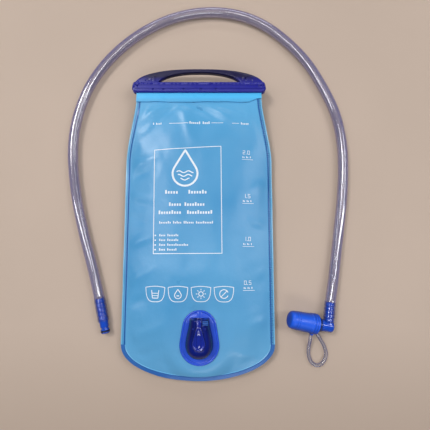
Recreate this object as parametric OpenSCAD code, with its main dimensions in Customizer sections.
// Hydration bladder: a soft two-litre water bag with a slide closure, a quick-release port
// and a separate drinking hose. The bag lies on its back, mouth towards +Y, port up.

/* [Bag] */
// Width of the bag across its weld
bag_w = 168; // [150:1:180]
// Width of the neck at the mouth
neck_w = 145; // [130:1:148]
// Thickness of one film
film_t = 0.5; // [0.4:0.05:0.8]
// Width of the weld along the edge
weld_w = 5.5; // [4:0.5:8]
// Height of the weld above the surface that the bag lies on
weld_z = 10; // [8:0.5:12]
// Rise of the front film above the weld at the middle
front_rise = 11; // [8:0.5:11.5]

/* [Slide closure] */
// Length of the slide closure
slider_l = 155.4; // [150:0.2:160]
// Depth of the closing bar, from its lip to the handle opening
bar_d = 12.3; // [11:0.1:14]
// Height of the handle's arch above the lip
arch_h = 29; // [27:0.2:32]
// Thickness of the closing bar
bar_t = 9.6; // [9.4:0.1:9.8]

/* [Port] */
// Radius of the hose socket
socket_r = 5.1; // [5:0.05:5.3]
// How far the release button is pressed in
button_travel = 1.8; // [1.2:0.1:1.8]
// How far the shut-off poppet opens
poppet_travel = 3.5; // [2:0.1:3.5]

/* [Hose] */
// Outside diameter of the hose
hose_d = 11.5; // [10:0.1:12]
// Inside diameter of the hose
hose_bore = 8; // [6:0.1:8.4]

/* [Dust cap] */
// Length of the dust cap
cap_l = 32; // [31.5:0.5:34]
// Radius of the dust cap at its rim
cap_rim_r = 11; // [10.6:0.1:11.2]
// Upward tilt of the mouthpiece
mouth_tilt = 13; // [13:1:16]

/* [Hidden] */
$fn = 48;

// Bag: the sides run straight from side_y up to shoulder_y, and the bottom is half an ellipse
half_w = bag_w / 2;
side_y = -137.5;
bottom_h = 38;
shoulder_y = 63;
neck_y = 142;
free_end_y = 130;
crown_reach = 58;
edge_roll = 26;
front_cols = 40;
front_rows = 48;
back_cols = 26;
back_rows = 34;

// Mouth: both films pass between the lips of the closure and fold over the front bead
mouth_z = 17;
slider_y = 146;
bead_y = slider_y + 3.6;
bead_d = 3.6;
bead_t = 1.4;
bead_l = 142;
fold_r = 0.8;
flap_y = slider_y - 10.5;
flap_z = 18.25;

// Slide closure
slider_z = 12.2;
lip_d = 1.6;
channel_d = 7.3;
channel_z = [14.7, 20.6];
slot_z = [16.15, 19.1];
stop_wall = 3.2;
lip_round = 6;
bar_end_cut = 2.3;
arch_w = 4.5;
arch_chord = 47;
handle_t = 7.6;
ridge_w = 0.9;
ridge_y = [4.4, 8.6];
pocket_x = 50.5;
pocket_w = 2.4;
pocket_pitch = 3.6;

// Port: everything in it is placed from port_x and the film's outer face
port_x = 2;
port_y = -128.6;
port_flat_x = 26.5;
port_flat_y = 33.5;
port_film_z = 18;
flange_z = port_film_z + film_t;
flange_t = 1.8;
body_z = flange_z + flange_t;
flange_low_r = 21.3;
flange_low_y = -136;
flange_top_r = 18.4;
flange_top_y = -118;
mouth_y = -107.6;
guide_l = 6.6;
guide_w = 5.2;
socket_z = body_z + 7.2;
socket_end = -122;
seat_t = 2;
seat_bore_r = 3;
chamber_end = -134.4;
drop_y = -131.5;
drop_r = 3;
spigot_r = 6;
seal_t = 0.9;
seal_outer_r = 5.2;
seal_inner_r = 4;
dome_top = body_z + 16.2;
dome_r = 14.8;
dome_y = -135.2;
crown_r = 10.4;
crown_y = -132.3;
slot_y = -117.6;
slot_d = 2.2;
latch_t = 1.6;
latch_w = 14.4;
pad_r = 6.9;
pad_y = -131.7;
pad_top_y = -116;
pad_top_r = 2.7;
rib_w = 5.4;
pad_clear = 0.35;
pad_bottom = dome_top - 1.1;
pad_t = 1.7;
recess_floor = pad_bottom - button_travel - 0.1;
spring_y = -136.9;
spring_r = 1.5;
spring_floor = body_z + 7.2;

// Elbow: its centre, the mouthpiece's turn from -X, and the lean of the barb in the hose
mouth_turn = 12;
hose_lean = 7;
elbow_x = 143.2;
elbow_y = -118.7;
elbow_z = 8;
elbow_r = 6.4;
collar_r = 5.9;
collar_l = 5;
elbow_barb_l = 21;
function past_elbow(at) =
  [elbow_x + at * sin(hose_lean), elbow_y + at * cos(hose_lean), elbow_z];

// Hose: its centreline from the plug's shoulder, round the mouth, to the elbow's collar
hose_z = hose_d / 2;
HOSE_PATH = [
  [-104.9, -112.5, hose_z], [-107.5, -101, hose_z], [-111, -86, hose_z],
  [-116, -67, hose_z], [-122, -46, hose_z], [-131, -16, hose_z], [-139.5, 18, hose_z],
  [-145, 48, hose_z], [-148, 78, hose_z], [-147, 106, hose_z], [-141.5, 134, hose_z],
  [-130, 164, hose_z], [-110, 194, hose_z], [-83, 220.5, hose_z], [-51, 241, hose_z],
  [-18, 253, hose_z], [16, 257, hose_z], [49, 252.5, hose_z], [78, 240, hose_z],
  [105, 219, hose_z], [129, 192, hose_z], [147, 161, hose_z], [161, 128, hose_z],
  [167.5, 93, hose_z], [168, 58, hose_z], [165, 23, hose_z], [160, -12, hose_z],
  [154.5, -48, 6.1], [150.1, -74, 7.2], past_elbow(26), past_elbow(15.5), past_elbow(collar_l)
];

// Plug: it leans with the end of the hose
plug_lean = 12.5;
plug_end = [HOSE_PATH[0][0], HOSE_PATH[0][1], hose_z];
shoulder_r = 5.6;
shoulder_t = 1.4;
nose_r = 4.85;
nose_l = 12.8;
ring_y = 2.5;
ring_r = 0.9;
ring_mid_r = socket_r - 0.05 - ring_r;
plug_bore_r = 2.6;
barb_l = 24;
barb_root_r = 3.9;
barb_tooth_r = 4.4;
barb_teeth = 5;

// Mouthpiece: distances along its axis, from the centre of the elbow
body_end = 14.2;
band_at = 11.4;
band_w = 2.2;
band_r = 8;
rim_at = 15.2;
cap_wall = 1.4;
cap_end_r = 9.5;
valve_at = 14.6;
valve_l = 25.4;
spigot_end = 26;
spigot_tip_r = 4.6;
lip_r = 5.1;
lug_w = 3.2;
lug_turn = 75;
strap_r = 1.9;
STRAP_PATH = [
  [123.4, -127.9, 8.4], [122.9, -133.2, 7.2], [122.2, -141.2, 3.6], [121.9, -149.5, 2.1],
  [124.6, -157.6, 2.1], [131.2, -161.4, 2.1], [138, -157.6, 2.1], [141.2, -149.5, 2.1],
  [139.6, -141.5, 2.3], [135.4, -133.6, 2.6], [131.1, -126.8, 3.6], [129, -122.1, 5.2]
];

function smooth(s) = let (c = max(0, min(1, s))) c * c * (3 - 2 * c);
function mix(a, b, s) = a + (b - a) * s;
function unit(v) = v / norm(v);

// Half the width inside the weld, at a height y
function inner_half(y) =
  half_w - weld_w - (half_w - neck_w / 2) * smooth((y - shoulder_y) / (neck_y - shoulder_y));
// Lower edge inside the weld, for u from -1 to 1 across the bag
function inner_bottom(u) = side_y - (bottom_h - weld_w) * sqrt(max(0, 1 - u * u));
// Height of the weld, which rises to the mouth
function weld_at(y) = mix(weld_z, mouth_z, smooth((y - free_end_y + 73) / 70));
// Position across the bag of column i out of n, from -1 to 1
function across(i, n) = let (a = -90 + 180 * i / n) (sin(a) + a / 90) / 2;
// Fullness of the bag from 0 at the weld to 1, for a side distance and a height
function fullness(side, low) =
  (1 - pow(1 - min(side / crown_reach, 1), 2)) * (1 - pow(1 - min(low / crown_reach, 1), 2));
// 1 where the front film lies flat under the port flange, 0 away from it
function port_flat(x, y) =
  let (rx = abs(x - port_x) / port_flat_x, ry = abs(y - port_y) / port_flat_y)
  smooth((1.36 - pow(pow(rx, 2.4) + pow(ry, 2.4), 1 / 2.4)) / 0.36);

// Height of the inner face of the front film
function front_z(x, y, side, low) =
  let (free = weld_at(y) + front_rise * fullness(side, low) * smooth((free_end_y + 4 - y) / 75))
  mix(free, port_film_z, port_flat(x, y) * (low > 0.01 ? 1 : 0));
// Height of the inner face of the back film, flat on the ground in the middle
function back_z(y, side, low) =
  weld_at(y)
  - (weld_at(y) - film_t)
    * smooth(side / edge_roll) * smooth(low / edge_roll) * smooth((free_end_y + 2 - y) / 60);

// Path of the two films over the front bead, as [y, z] of the face where they touch
bead_end = bead_y + bead_d;
fold_low = mouth_z + fold_r;
fold_high = fold_low + 1.1;
MOUTH_PATH = concat(
  [for (y = [flap_y + 2.5, slider_y - 1, bead_y - 0.1, bead_end]) [y, mouth_z]],
  [for (a = [-60, -30, 0]) [bead_end + fold_r * cos(a), fold_low + fold_r * sin(a)]],
  [for (a = [0, 30, 60, 90]) [bead_end + fold_r * cos(a), fold_high + fold_r * sin(a)]],
  [[bead_y, fold_high + fold_r]],
  [for (y = [bead_y - 1.7, flap_y + 5.5, flap_y]) [y, flap_z]]
);
MOUTH_N = len(MOUTH_PATH);

// Film as [position, normal] on the grid of columns and rows; row 0 and the end columns are
// the outer edge of the weld, and the last rows follow the mouth
function mouth_tangent(k) =
  unit(MOUTH_PATH[min(MOUTH_N - 1, k + 1)] - (k == 0 ? [free_end_y, mouth_z] : MOUTH_PATH[k - 1]));
function row_y(u, j, rows) = mix(inner_bottom(u), free_end_y, pow((j - 1) / (rows - 1), 1.35));
function film_point(i, j, cols, rows, front) =
  let (
    k = j - rows - 1,
    edge = i == 0 || i == cols + 2,
    u = across(max(0, min(cols, i - 1)), cols),
    sgn = i == 0 ? -1 : 1
  )
  k >= 0
  ? let (p = MOUTH_PATH[k], w = inner_half(min(p[0], neck_y)), cut = k == MOUTH_N - 1 ? 3 : 0)
    [(edge ? sgn * (w + weld_w) : u * w) * (1 - cut / 70), p[0], p[1]]
  : j == 0
  ? [half_w * u, side_y - bottom_h * sqrt(max(0, 1 - u * u)), weld_z]
  : let (y = row_y(edge ? sgn : u, j, rows), w = inner_half(y))
    edge
    ? [sgn * (w + weld_w), y, weld_at(y)]
    : let (side = w * (1 - abs(u)), low = y - inner_bottom(u))
      [u * w, y, front ? front_z(u * w, y, side, low) : back_z(y, side, low)];
function film_normal(j, rows) =
  let (k = j - rows - 1)
  k < 0 ? [0, 0, 1] : let (t = mouth_tangent(k)) [0, -t[1], t[0]];

// A film as a closed shell; shift is [near, far] offsets of its two faces from the contact face
module film(cols, rows, front, shift) {
  nc = cols + 3;
  nr = rows + 1 + MOUTH_N;
  points = [
    for (s = shift) for (j = [0:nr - 1]) for (i = [0:nc - 1])
      film_point(i, j, cols, rows, front) + s * film_normal(j, rows)
  ];
  // the corner points of the weld are shared, so three grid places have one index
  function id(i, j, layer) =
    let (
      left = (i == 0 && j <= 1) || (i == 1 && j == 0),
      right = (i == nc - 1 && j <= 1) || (i == nc - 2 && j == 0),
      ii = left ? 0 : right ? nc - 1 : i,
      jj = left || right ? 1 : j
    )
    layer * nc * nr + jj * nc + ii;
  cells = [
    for (j = [0:nr - 2]) for (i = [0:nc - 2])
      if (!(j == 0 && (i == 0 || i == nc - 2))) [i, j]
  ];
  rim = concat(
    [for (i = [1:nc - 3]) [[i, 0], [i + 1, 0]]],
    [for (j = [1:nr - 2]) [[nc - 1, j], [nc - 1, j + 1]]],
    [for (i = [nc - 1:-1:1]) [[i, nr - 1], [i - 1, nr - 1]]],
    [for (j = [nr - 1:-1:2]) [[0, j], [0, j - 1]]]
  );
  faces = concat(
    [for (c = cells) each [
      [id(c[0], c[1], 0), id(c[0] + 1, c[1], 0), id(c[0] + 1, c[1] + 1, 0)],
      [id(c[0], c[1], 0), id(c[0] + 1, c[1] + 1, 0), id(c[0], c[1] + 1, 0)]
    ]],
    [for (c = cells) each [
      [id(c[0], c[1], 1), id(c[0] + 1, c[1] + 1, 1), id(c[0] + 1, c[1], 1)],
      [id(c[0], c[1], 1), id(c[0], c[1] + 1, 1), id(c[0] + 1, c[1] + 1, 1)]
    ]],
    [for (e = rim) each [
      [id(e[0][0], e[0][1], 0), id(e[0][0], e[0][1], 1), id(e[1][0], e[1][1], 1)],
      [id(e[0][0], e[0][1], 0), id(e[1][0], e[1][1], 1), id(e[1][0], e[1][1], 0)]
    ]]
  );
  polyhedron(points = points, faces = faces, convexity = 6);
}

// A point on a smooth curve through a route's points, at t counted in points
function route_at(route, t) =
  let (
    n = len(route),
    k = min(floor(t), n - 2),
    s = t - k,
    p1 = route[k],
    p2 = route[k + 1],
    p0 = k == 0 ? 2 * p1 - p2 : route[k - 1],
    p3 = k == n - 2 ? 2 * p2 - p1 : route[k + 2]
  )
  0.5 * (2 * p1 + (p2 - p0) * s + (2 * p0 - 5 * p1 + 4 * p2 - p3) * s * s
         + (3 * p1 - p0 - 3 * p2 + p3) * s * s * s);

// A round rod or, with a bore, a tube; each ring is [centre, side direction, up direction]
module swept_rings(rings, r, sides, bore = 0) {
  n = len(rings);
  last = (n - 1) * sides;
  inside = n * sides;
  points = [
    for (radius = bore > 0 ? [r, bore] : [r]) for (g = rings) for (q = [0:sides - 1])
      let (a = 360 * q / sides) g[0] + radius * (cos(a) * g[1] + sin(a) * g[2])
  ];
  wall = [
    for (k = [0:n - 2]) for (q = [0:sides - 1])
      let (a = k * sides, b = (q + 1) % sides)
      each [[a + q, a + sides + q, a + sides + b], [a + q, a + sides + b, a + b]]
  ];
  closed_ends = [[for (q = [0:sides - 1]) q], [for (q = [sides - 1:-1:0]) last + q]];
  open_ends = [
    for (q = [0:sides - 1])
      let (b = (q + 1) % sides, p = last + q, s = last + b)
      each [
        [q, b, inside + b], [q, inside + b, inside + q],
        [s, p, inside + p], [s, inside + p, inside + s]
      ]
  ];
  bore_wall = [for (f = wall) [inside + f[2], inside + f[1], inside + f[0]]];
  polyhedron(
    points = points,
    faces = bore > 0 ? concat(wall, bore_wall, open_ends) : concat(wall, closed_ends),
    convexity = 10
  );
}

// A rod or tube along a route that stays close to level
module tube_along(route, r, sides, steps, bore = 0) {
  n = (len(route) - 1) * steps;
  at = [for (k = [0:n]) route_at(route, k / steps)];
  rings = [
    for (k = [0:n])
      let (
        t = unit(at[min(n, k + 1)] - at[max(0, k - 1)]),
        side = unit(cross([0, 0, 1], t)),
        up = cross(t, side)
      )
      [at[k], side, up]
  ];
  swept_rings(rings, r, sides, bore);
}

// A coil spring along +Z
module coil(r, wire, height, turns) {
  per_turn = 12;
  n = turns * per_turn;
  rings = [
    for (k = [0:n])
      let (a = 360 * k / per_turn)
      [[r * cos(a), r * sin(a), wire + (height - 2 * wire) * k / n], [cos(a), sin(a), 0], [0, 0, 1]]
  ];
  swept_rings(rings, wire, 6);
}

// A ring about Z with a rectangular section
module ring(outer, inner, height) {
  difference() {
    cylinder(r = outer, h = height);
    translate([0, 0, -1]) cylinder(r = inner, h = height + 2);
  }
}

// Places its children with +Z along the hose socket, from its mouth inwards
module in_socket(depth) {
  translate([port_x, mouth_y - depth, socket_z]) rotate([90, 0, 0]) children();
}

// Places its children with +Z along the mouthpiece, at a distance from the elbow's centre
module on_mouthpiece(at) {
  translate([elbow_x, elbow_y, elbow_z])
    rotate([0, 0, 180 - mouth_turn]) rotate([0, 90 - mouth_tilt, 0]) translate([0, 0, at])
      children();
}

// Places its children with +Z from the elbow into the hose, at a distance from its centre
module into_hose(at) {
  translate(past_elbow(at)) rotate([0, 0, -hose_lean]) rotate([-90, 0, 0]) children();
}

// Places its children with +Z from the end of the hose towards the tip of the plug
module on_plug() {
  translate(plug_end) rotate([0, 0, plug_lean]) rotate([90, 0, 0]) children();
}

// A hose barb along +Z: a tube with saw-tooth ribs
module barb(length, root_r, tooth_r, teeth) {
  pitch = length / teeth;
  rotate_extrude()
    polygon(concat(
      [[0, 0]],
      [for (k = [0:teeth - 1]) each [
        [root_r, k * pitch], [tooth_r, k * pitch + pitch * 0.25], [root_r, (k + 1) * pitch - 0.1]
      ]],
      [[0, length]]
    ));
}

module back_film() {
  color([0.36, 0.65, 0.86]) film(back_cols, back_rows, false, [-film_t, 0]);
}

module front_film() {
  color([0.4, 0.7, 0.9])
    difference() {
      film(front_cols, front_rows, true, [0, film_t]);
      translate([port_x, drop_y, port_film_z - 3]) cylinder(r = spigot_r + 0.2, h = 6);
    }
}

module back_bead() {
  color([0.75, 0.88, 0.96])
    translate([-bead_l / 2, bead_y, mouth_z - film_t - bead_t]) cube([bead_l, bead_d, bead_t]);
}

module front_bead() {
  color([0.75, 0.88, 0.96])
    translate([-bead_l / 2, bead_y, mouth_z + film_t]) cube([bead_l, bead_d, bead_t]);
}

// Points of an arc in steps, from angle a0 to a1
function arc_points(x, y, r, a0, a1, n) =
  [for (k = [0:n]) let (a = mix(a0, a1, k / n)) [x + r * cos(a), y + r * sin(a)]];
function mirrored(points) = [for (k = [len(points) - 1:-1:0]) [-points[k][0], points[k][1]]];

// Half of the closing bar seen from above, lip along y = 0; its end follows the handle's arch
function bar_half(half) =
  concat(
    [[half - lip_round, 0]],
    arc_points(half - lip_round, lip_round, lip_round, -80, 0, 8),
    [for (x = [half - 0.5, half - 1.2]) [x, arch_top(x)]],
    [[half - bar_end_cut, bar_d]]
  );
// Outline of the handle and of its opening, seen from above, as heights over the lip
function arch_top(x) = arch_h * pow(1 - pow(min(1, abs(x) / (slider_l / 2)), 2.6), 1 / 3);
function opening_top(x) =
  bar_d + (arch_h - arch_w - bar_d) * pow(1 - pow(min(1, abs(x) / arch_chord), 2.2), 0.625);
function arch_points_to(half) =
  concat([[half, 5]], [for (a = [90:-6:-90]) let (x = half * sin(a)) [x, arch_top(x)]], [[-half, 5]]);

module handle_opening() {
  polygon([for (a = [90:-6:-90]) let (x = arch_chord * sin(a)) [x, opening_top(x)]]);
}

module slide_closure() {
  half = slider_l / 2;
  bar = bar_half(half);
  color([0.2, 0.16, 0.55])
    difference() {
      union() {
        translate([0, slider_y, slider_z + (bar_t - handle_t) / 2])
          linear_extrude(handle_t) polygon(arch_points_to(half - 0.4));
        translate([0, slider_y, slider_z])
          linear_extrude(bar_t) polygon(concat(bar, mirrored(bar)));
        // two ridges along the face of the bar
        for (y = ridge_y)
          translate([-half + 12, slider_y + y, slider_z + bar_t - 0.2])
            cube([slider_l - 24, ridge_w, 0.5]);
      }
      translate([0, slider_y, 0]) linear_extrude(40) handle_opening();
      // chamfers along the lip, front and back
      for (z = [slider_z, slider_z + bar_t])
        translate([0, slider_y, z]) rotate([45, 0, 0]) cube([slider_l + 4, 2, 2], center = true);
      // channel for the beads, open at the -X end, and the slot for the films
      translate([-half - 1, slider_y + lip_d, channel_z[0]])
        cube([slider_l + 1 - stop_wall, channel_d, channel_z[1] - channel_z[0]]);
      translate([-half - 1, slider_y - 2, slot_z[0]])
        cube([slider_l + 1 - stop_wall, lip_d + 4, slot_z[1] - slot_z[0]]);
      // ribbed finger pockets beyond both ends of the opening
      for (s = [-1, 1]) for (k = [0:3])
        translate([s * (pocket_x + pocket_pitch * k) - pocket_w / 2,
                   slider_y + bar_d + 0.4, slider_z + bar_t - 4.4])
          cube([pocket_w, 6.6 - 1.1 * k, 4]);
    }
}

module flange_outline(grow) {
  hull() {
    translate([port_x, flange_low_y]) circle(r = flange_low_r + grow);
    translate([port_x, flange_top_y]) circle(r = flange_top_r + grow);
  }
}

module port_flange() {
  color([0.24, 0.38, 0.85])
    difference() {
      union() {
        translate([0, 0, flange_z]) linear_extrude(flange_t) flange_outline(0);
        // raised guide in front of the socket
        translate([port_x - guide_w / 2, mouth_y, body_z - 0.1]) cube([guide_w, guide_l, 0.45]);
        translate([port_x, drop_y, flange_z - 5]) cylinder(r = spigot_r, h = 5.5);
      }
      // shallow step round the rim
      translate([0, 0, body_z - 0.5])
        linear_extrude(1) difference() {
          flange_outline(-1.6);
          flange_outline(-3);
        }
      translate([port_x, drop_y, flange_z - 6]) cylinder(r = drop_r, h = 20);
      translate([port_x, drop_y, body_z - seal_t]) ring(seal_outer_r, seal_inner_r, 2);
    }
}

module port_seal() {
  color([0.1, 0.1, 0.12])
    translate([port_x, drop_y, body_z - seal_t]) ring(seal_outer_r, seal_inner_r, seal_t);
}

module pad_outline(grow) {
  hull() {
    translate([port_x, pad_y]) circle(r = pad_r + grow);
    translate([port_x, pad_top_y]) circle(r = pad_top_r + grow);
  }
}

module port_housing() {
  color([0.05, 0.09, 0.5])
    difference() {
      // the dome: flat end with the socket at the front, round at the back
      hull() {
        translate([port_x, dome_y, body_z]) cylinder(r = dome_r, h = 3.5, $fn = 40);
        translate([port_x, crown_y, dome_top - crown_r]) sphere(r = crown_r, $fn = 32);
        translate([port_x, mouth_y, socket_z]) rotate([90, 0, 0]) cylinder(r = 8.6, h = 1, $fn = 32);
        translate([port_x - 10.4, mouth_y - 1, body_z]) cube([20.8, 1, 6]);
        translate([port_x - 4.5, pad_y + 3, dome_top - 1]) cube([9, 6, 1]);
      }
      // flat underside, on the flange
      translate([port_x - 30, dome_y - 30, body_z - 20]) cube([60, 60, 20]);
      in_socket(-1) cylinder(r = socket_r, h = mouth_y - chamber_end + 1);
      translate([port_x, drop_y, body_z - 1]) cylinder(r = drop_r, h = 6);
      // slot of the latch plate, and the recess of the button with its rib
      translate([port_x - latch_w / 2 - 0.3, slot_y, body_z - 1]) cube([latch_w + 0.6, slot_d, 30]);
      translate([0, 0, recess_floor]) linear_extrude(10) pad_outline(pad_clear);
      translate([port_x - rib_w / 2 - pad_clear, pad_top_y, recess_floor])
        cube([rib_w + 2 * pad_clear, 20, 10]);
      // small window beside the rib
      translate([port_x + 3.8, mouth_y - 5.4, dome_top - 2.6]) cube([5.6, 4.6, 10]);
      translate([port_x, spring_y, spring_floor]) cylinder(r = spring_r + 0.75, h = 20);
    }
}

module valve_seat_ring() {
  color([0.8, 0.84, 0.9]) in_socket(mouth_y - socket_end) ring(socket_r, seat_bore_r, seat_t);
}

module shutoff_poppet() {
  front = mouth_y - socket_end - poppet_travel;
  head = mouth_y - socket_end + seat_t + 0.6;
  color([0.85, 0.87, 0.92])
    union() {
      in_socket(front) cylinder(r = 1.8, h = head - front + 0.5);
      in_socket(head) cylinder(r = 4.2, h = 1.6);
      in_socket(head + 1.5) cylinder(r = 1.3, h = 4);
      for (a = [0, 90])
        in_socket(head) rotate([0, 0, a]) translate([-4.9, -0.8, 0]) cube([9.8, 1.6, 1.6]);
    }
}

module poppet_seal() {
  color([0.15, 0.15, 0.17])
    in_socket(mouth_y - socket_end + seat_t + 0.05) ring(4.1, 1.8, 0.55);
}

module poppet_spring() {
  from = mouth_y - socket_end + seat_t + 2.2;
  color([0.8, 0.8, 0.82]) in_socket(from) coil(2.3, 0.3, mouth_y - chamber_end - from, 5);
}

module release_button() {
  color([0.1, 0.16, 0.62])
    union() {
      translate([0, 0, pad_bottom]) linear_extrude(pad_t) pad_outline(0);
      translate([0, 0, pad_bottom + pad_t - 0.1])
        linear_extrude(0.5) difference() {
          pad_outline(-0.9);
          pad_outline(-1.7);
        }
      translate([port_x - rib_w / 2, pad_top_y, pad_bottom])
        cube([rib_w, mouth_y - pad_top_y - 0.3, pad_t]);
      translate([port_x, spring_y, pad_bottom - 0.6]) cylinder(r = 0.8, h = 1);
    }
}

// The plate's hole is higher than the socket, so its lower edge stands in the socket at rest
module latch_plate() {
  low = body_z + button_travel + 0.4;
  y = slot_y + (slot_d - latch_t) / 2;
  color([0.3, 0.62, 0.95])
    difference() {
      translate([port_x - latch_w / 2, y, low]) cube([latch_w, latch_t, pad_bottom - low]);
      translate([port_x, y + latch_t + 1, socket_z + 0.8])
        rotate([90, 0, 0]) cylinder(r = socket_r + 0.05, h = latch_t + 2);
      translate([port_x, y + latch_t + 1, socket_z + button_travel])
        rotate([90, 0, 0]) cylinder(r = socket_r + 0.05, h = latch_t + 2);
    }
}

module button_spring() {
  color([0.8, 0.8, 0.82])
    translate([port_x, spring_y, spring_floor])
      coil(spring_r, 0.25, pad_bottom - spring_floor, 6);
}

module hose() {
  color([0.72, 0.74, 0.9]) tube_along(HOSE_PATH, hose_d / 2, 12, 2, hose_bore / 2);
}

module plug_body() {
  color([0.09, 0.25, 0.78])
    difference() {
      union() {
        on_plug() mirror([0, 0, 1]) barb(barb_l, barb_root_r, barb_tooth_r, barb_teeth);
        on_plug() cylinder(r = shoulder_r, h = shoulder_t);
        on_plug() translate([0, 0, shoulder_t]) cylinder(r = nose_r, h = nose_l);
      }
      on_plug() translate([0, 0, -barb_l - 1]) cylinder(r = plug_bore_r, h = 60);
      // latch groove, then the groove of the O-ring
      on_plug() translate([0, 0, shoulder_t + nose_l - 7]) ring(8, 3.95, 1.9);
      on_plug() translate([0, 0, shoulder_t + nose_l - ring_y - ring_r])
        ring(8, ring_mid_r - ring_r, 2 * ring_r);
    }
}

module plug_o_ring() {
  color([0.05, 0.05, 0.06])
    on_plug() translate([0, 0, shoulder_t + nose_l - ring_y])
      rotate_extrude() translate([ring_mid_r, 0]) circle(r = ring_r, $fn = 24);
}

module elbow() {
  color([0.08, 0.25, 0.75])
    difference() {
      union() {
        on_mouthpiece(-4.6) cylinder(r = elbow_r, h = body_end + 4.6);
        on_mouthpiece(0) cylinder(r = spigot_tip_r, h = spigot_end);
        on_mouthpiece(spigot_end - 3) cylinder(r = lip_r, h = 1.6);
        into_hose(0) cylinder(r = collar_r, h = collar_l);
        into_hose(collar_l) barb(elbow_barb_l, barb_root_r, barb_tooth_r, barb_teeth);
      }
      on_mouthpiece(0) cylinder(r = 3, h = spigot_end + 1);
      into_hose(0) cylinder(r = plug_bore_r, h = 40);
    }
}

// Soft mouthpiece: it grips the elbow's spigot and ends in a dome with a drinking slit
module bite_valve() {
  color([0.45, 0.7, 0.95])
    difference() {
      on_mouthpiece(valve_at)
        rotate_extrude()
          polygon([
            [0, 0], [7.2, 0], [7.2, 2.2], [6.5, 3.4], [6.5, 10], [7.2, 12.6], [7.6, 16.4],
            [7.2, 20.4], [6.2, 23.4], [4, 25], [0, valve_l]
          ]);
      on_mouthpiece(valve_at - 1) cylinder(r = spigot_tip_r, h = spigot_end - valve_at + 1);
      on_mouthpiece(spigot_end - 3) cylinder(r = lip_r, h = 1.6);
      on_mouthpiece(spigot_end - 1.4) cylinder(r = 5, h = 13);
      on_mouthpiece(valve_at + 20) translate([-3.5, -0.15, 0]) cube([7, 0.3, 8]);
    }
}

module tether_ring() {
  color([0.15, 0.2, 0.6]) on_mouthpiece(band_at) ring(band_r, elbow_r, band_w);
}

module dust_cap() {
  color([0.1, 0.35, 0.88])
    difference() {
      union() {
        on_mouthpiece(rim_at)
          rotate_extrude()
            polygon([
              [0, 0], [cap_rim_r, 0], [cap_rim_r, 1.4], [cap_rim_r - 0.6, 1.9],
              [cap_rim_r, 2.5], [cap_rim_r, 4.4], [cap_rim_r - 0.6, 4.9], [cap_rim_r - 0.2, 5.5],
              [cap_rim_r - 0.2, 7.6], [cap_rim_r - 0.8, 8.2],
              [cap_end_r + 0.3, cap_l - 6], [cap_end_r, cap_l - 2.6], [cap_end_r - 1, cap_l - 0.9],
              [cap_end_r - 2.6, cap_l], [0, cap_l]
            ]);
        on_mouthpiece(rim_at + 0.2)
          rotate([0, 0, lug_turn])
            translate([cap_rim_r - 1.5, -lug_w / 2, 0]) cube([lug_w, lug_w, lug_w]);
      }
      on_mouthpiece(rim_at - 1) cylinder(r = cap_rim_r - cap_wall, h = 9);
      on_mouthpiece(rim_at - 1) cylinder(r = cap_end_r - cap_wall + 0.1, h = cap_l - cap_wall + 1);
    }
}

module cap_tether() {
  color([0.78, 0.84, 0.96]) tube_along(STRAP_PATH, strap_r, 8, 3);
}

back_film();
front_film();
back_bead();
front_bead();
slide_closure();
port_flange();
port_seal();
port_housing();
valve_seat_ring();
shutoff_poppet();
poppet_seal();
poppet_spring();
release_button();
latch_plate();
button_spring();
hose();
plug_body();
plug_o_ring();
elbow();
bite_valve();
tether_ring();
dust_cap();
cap_tether();
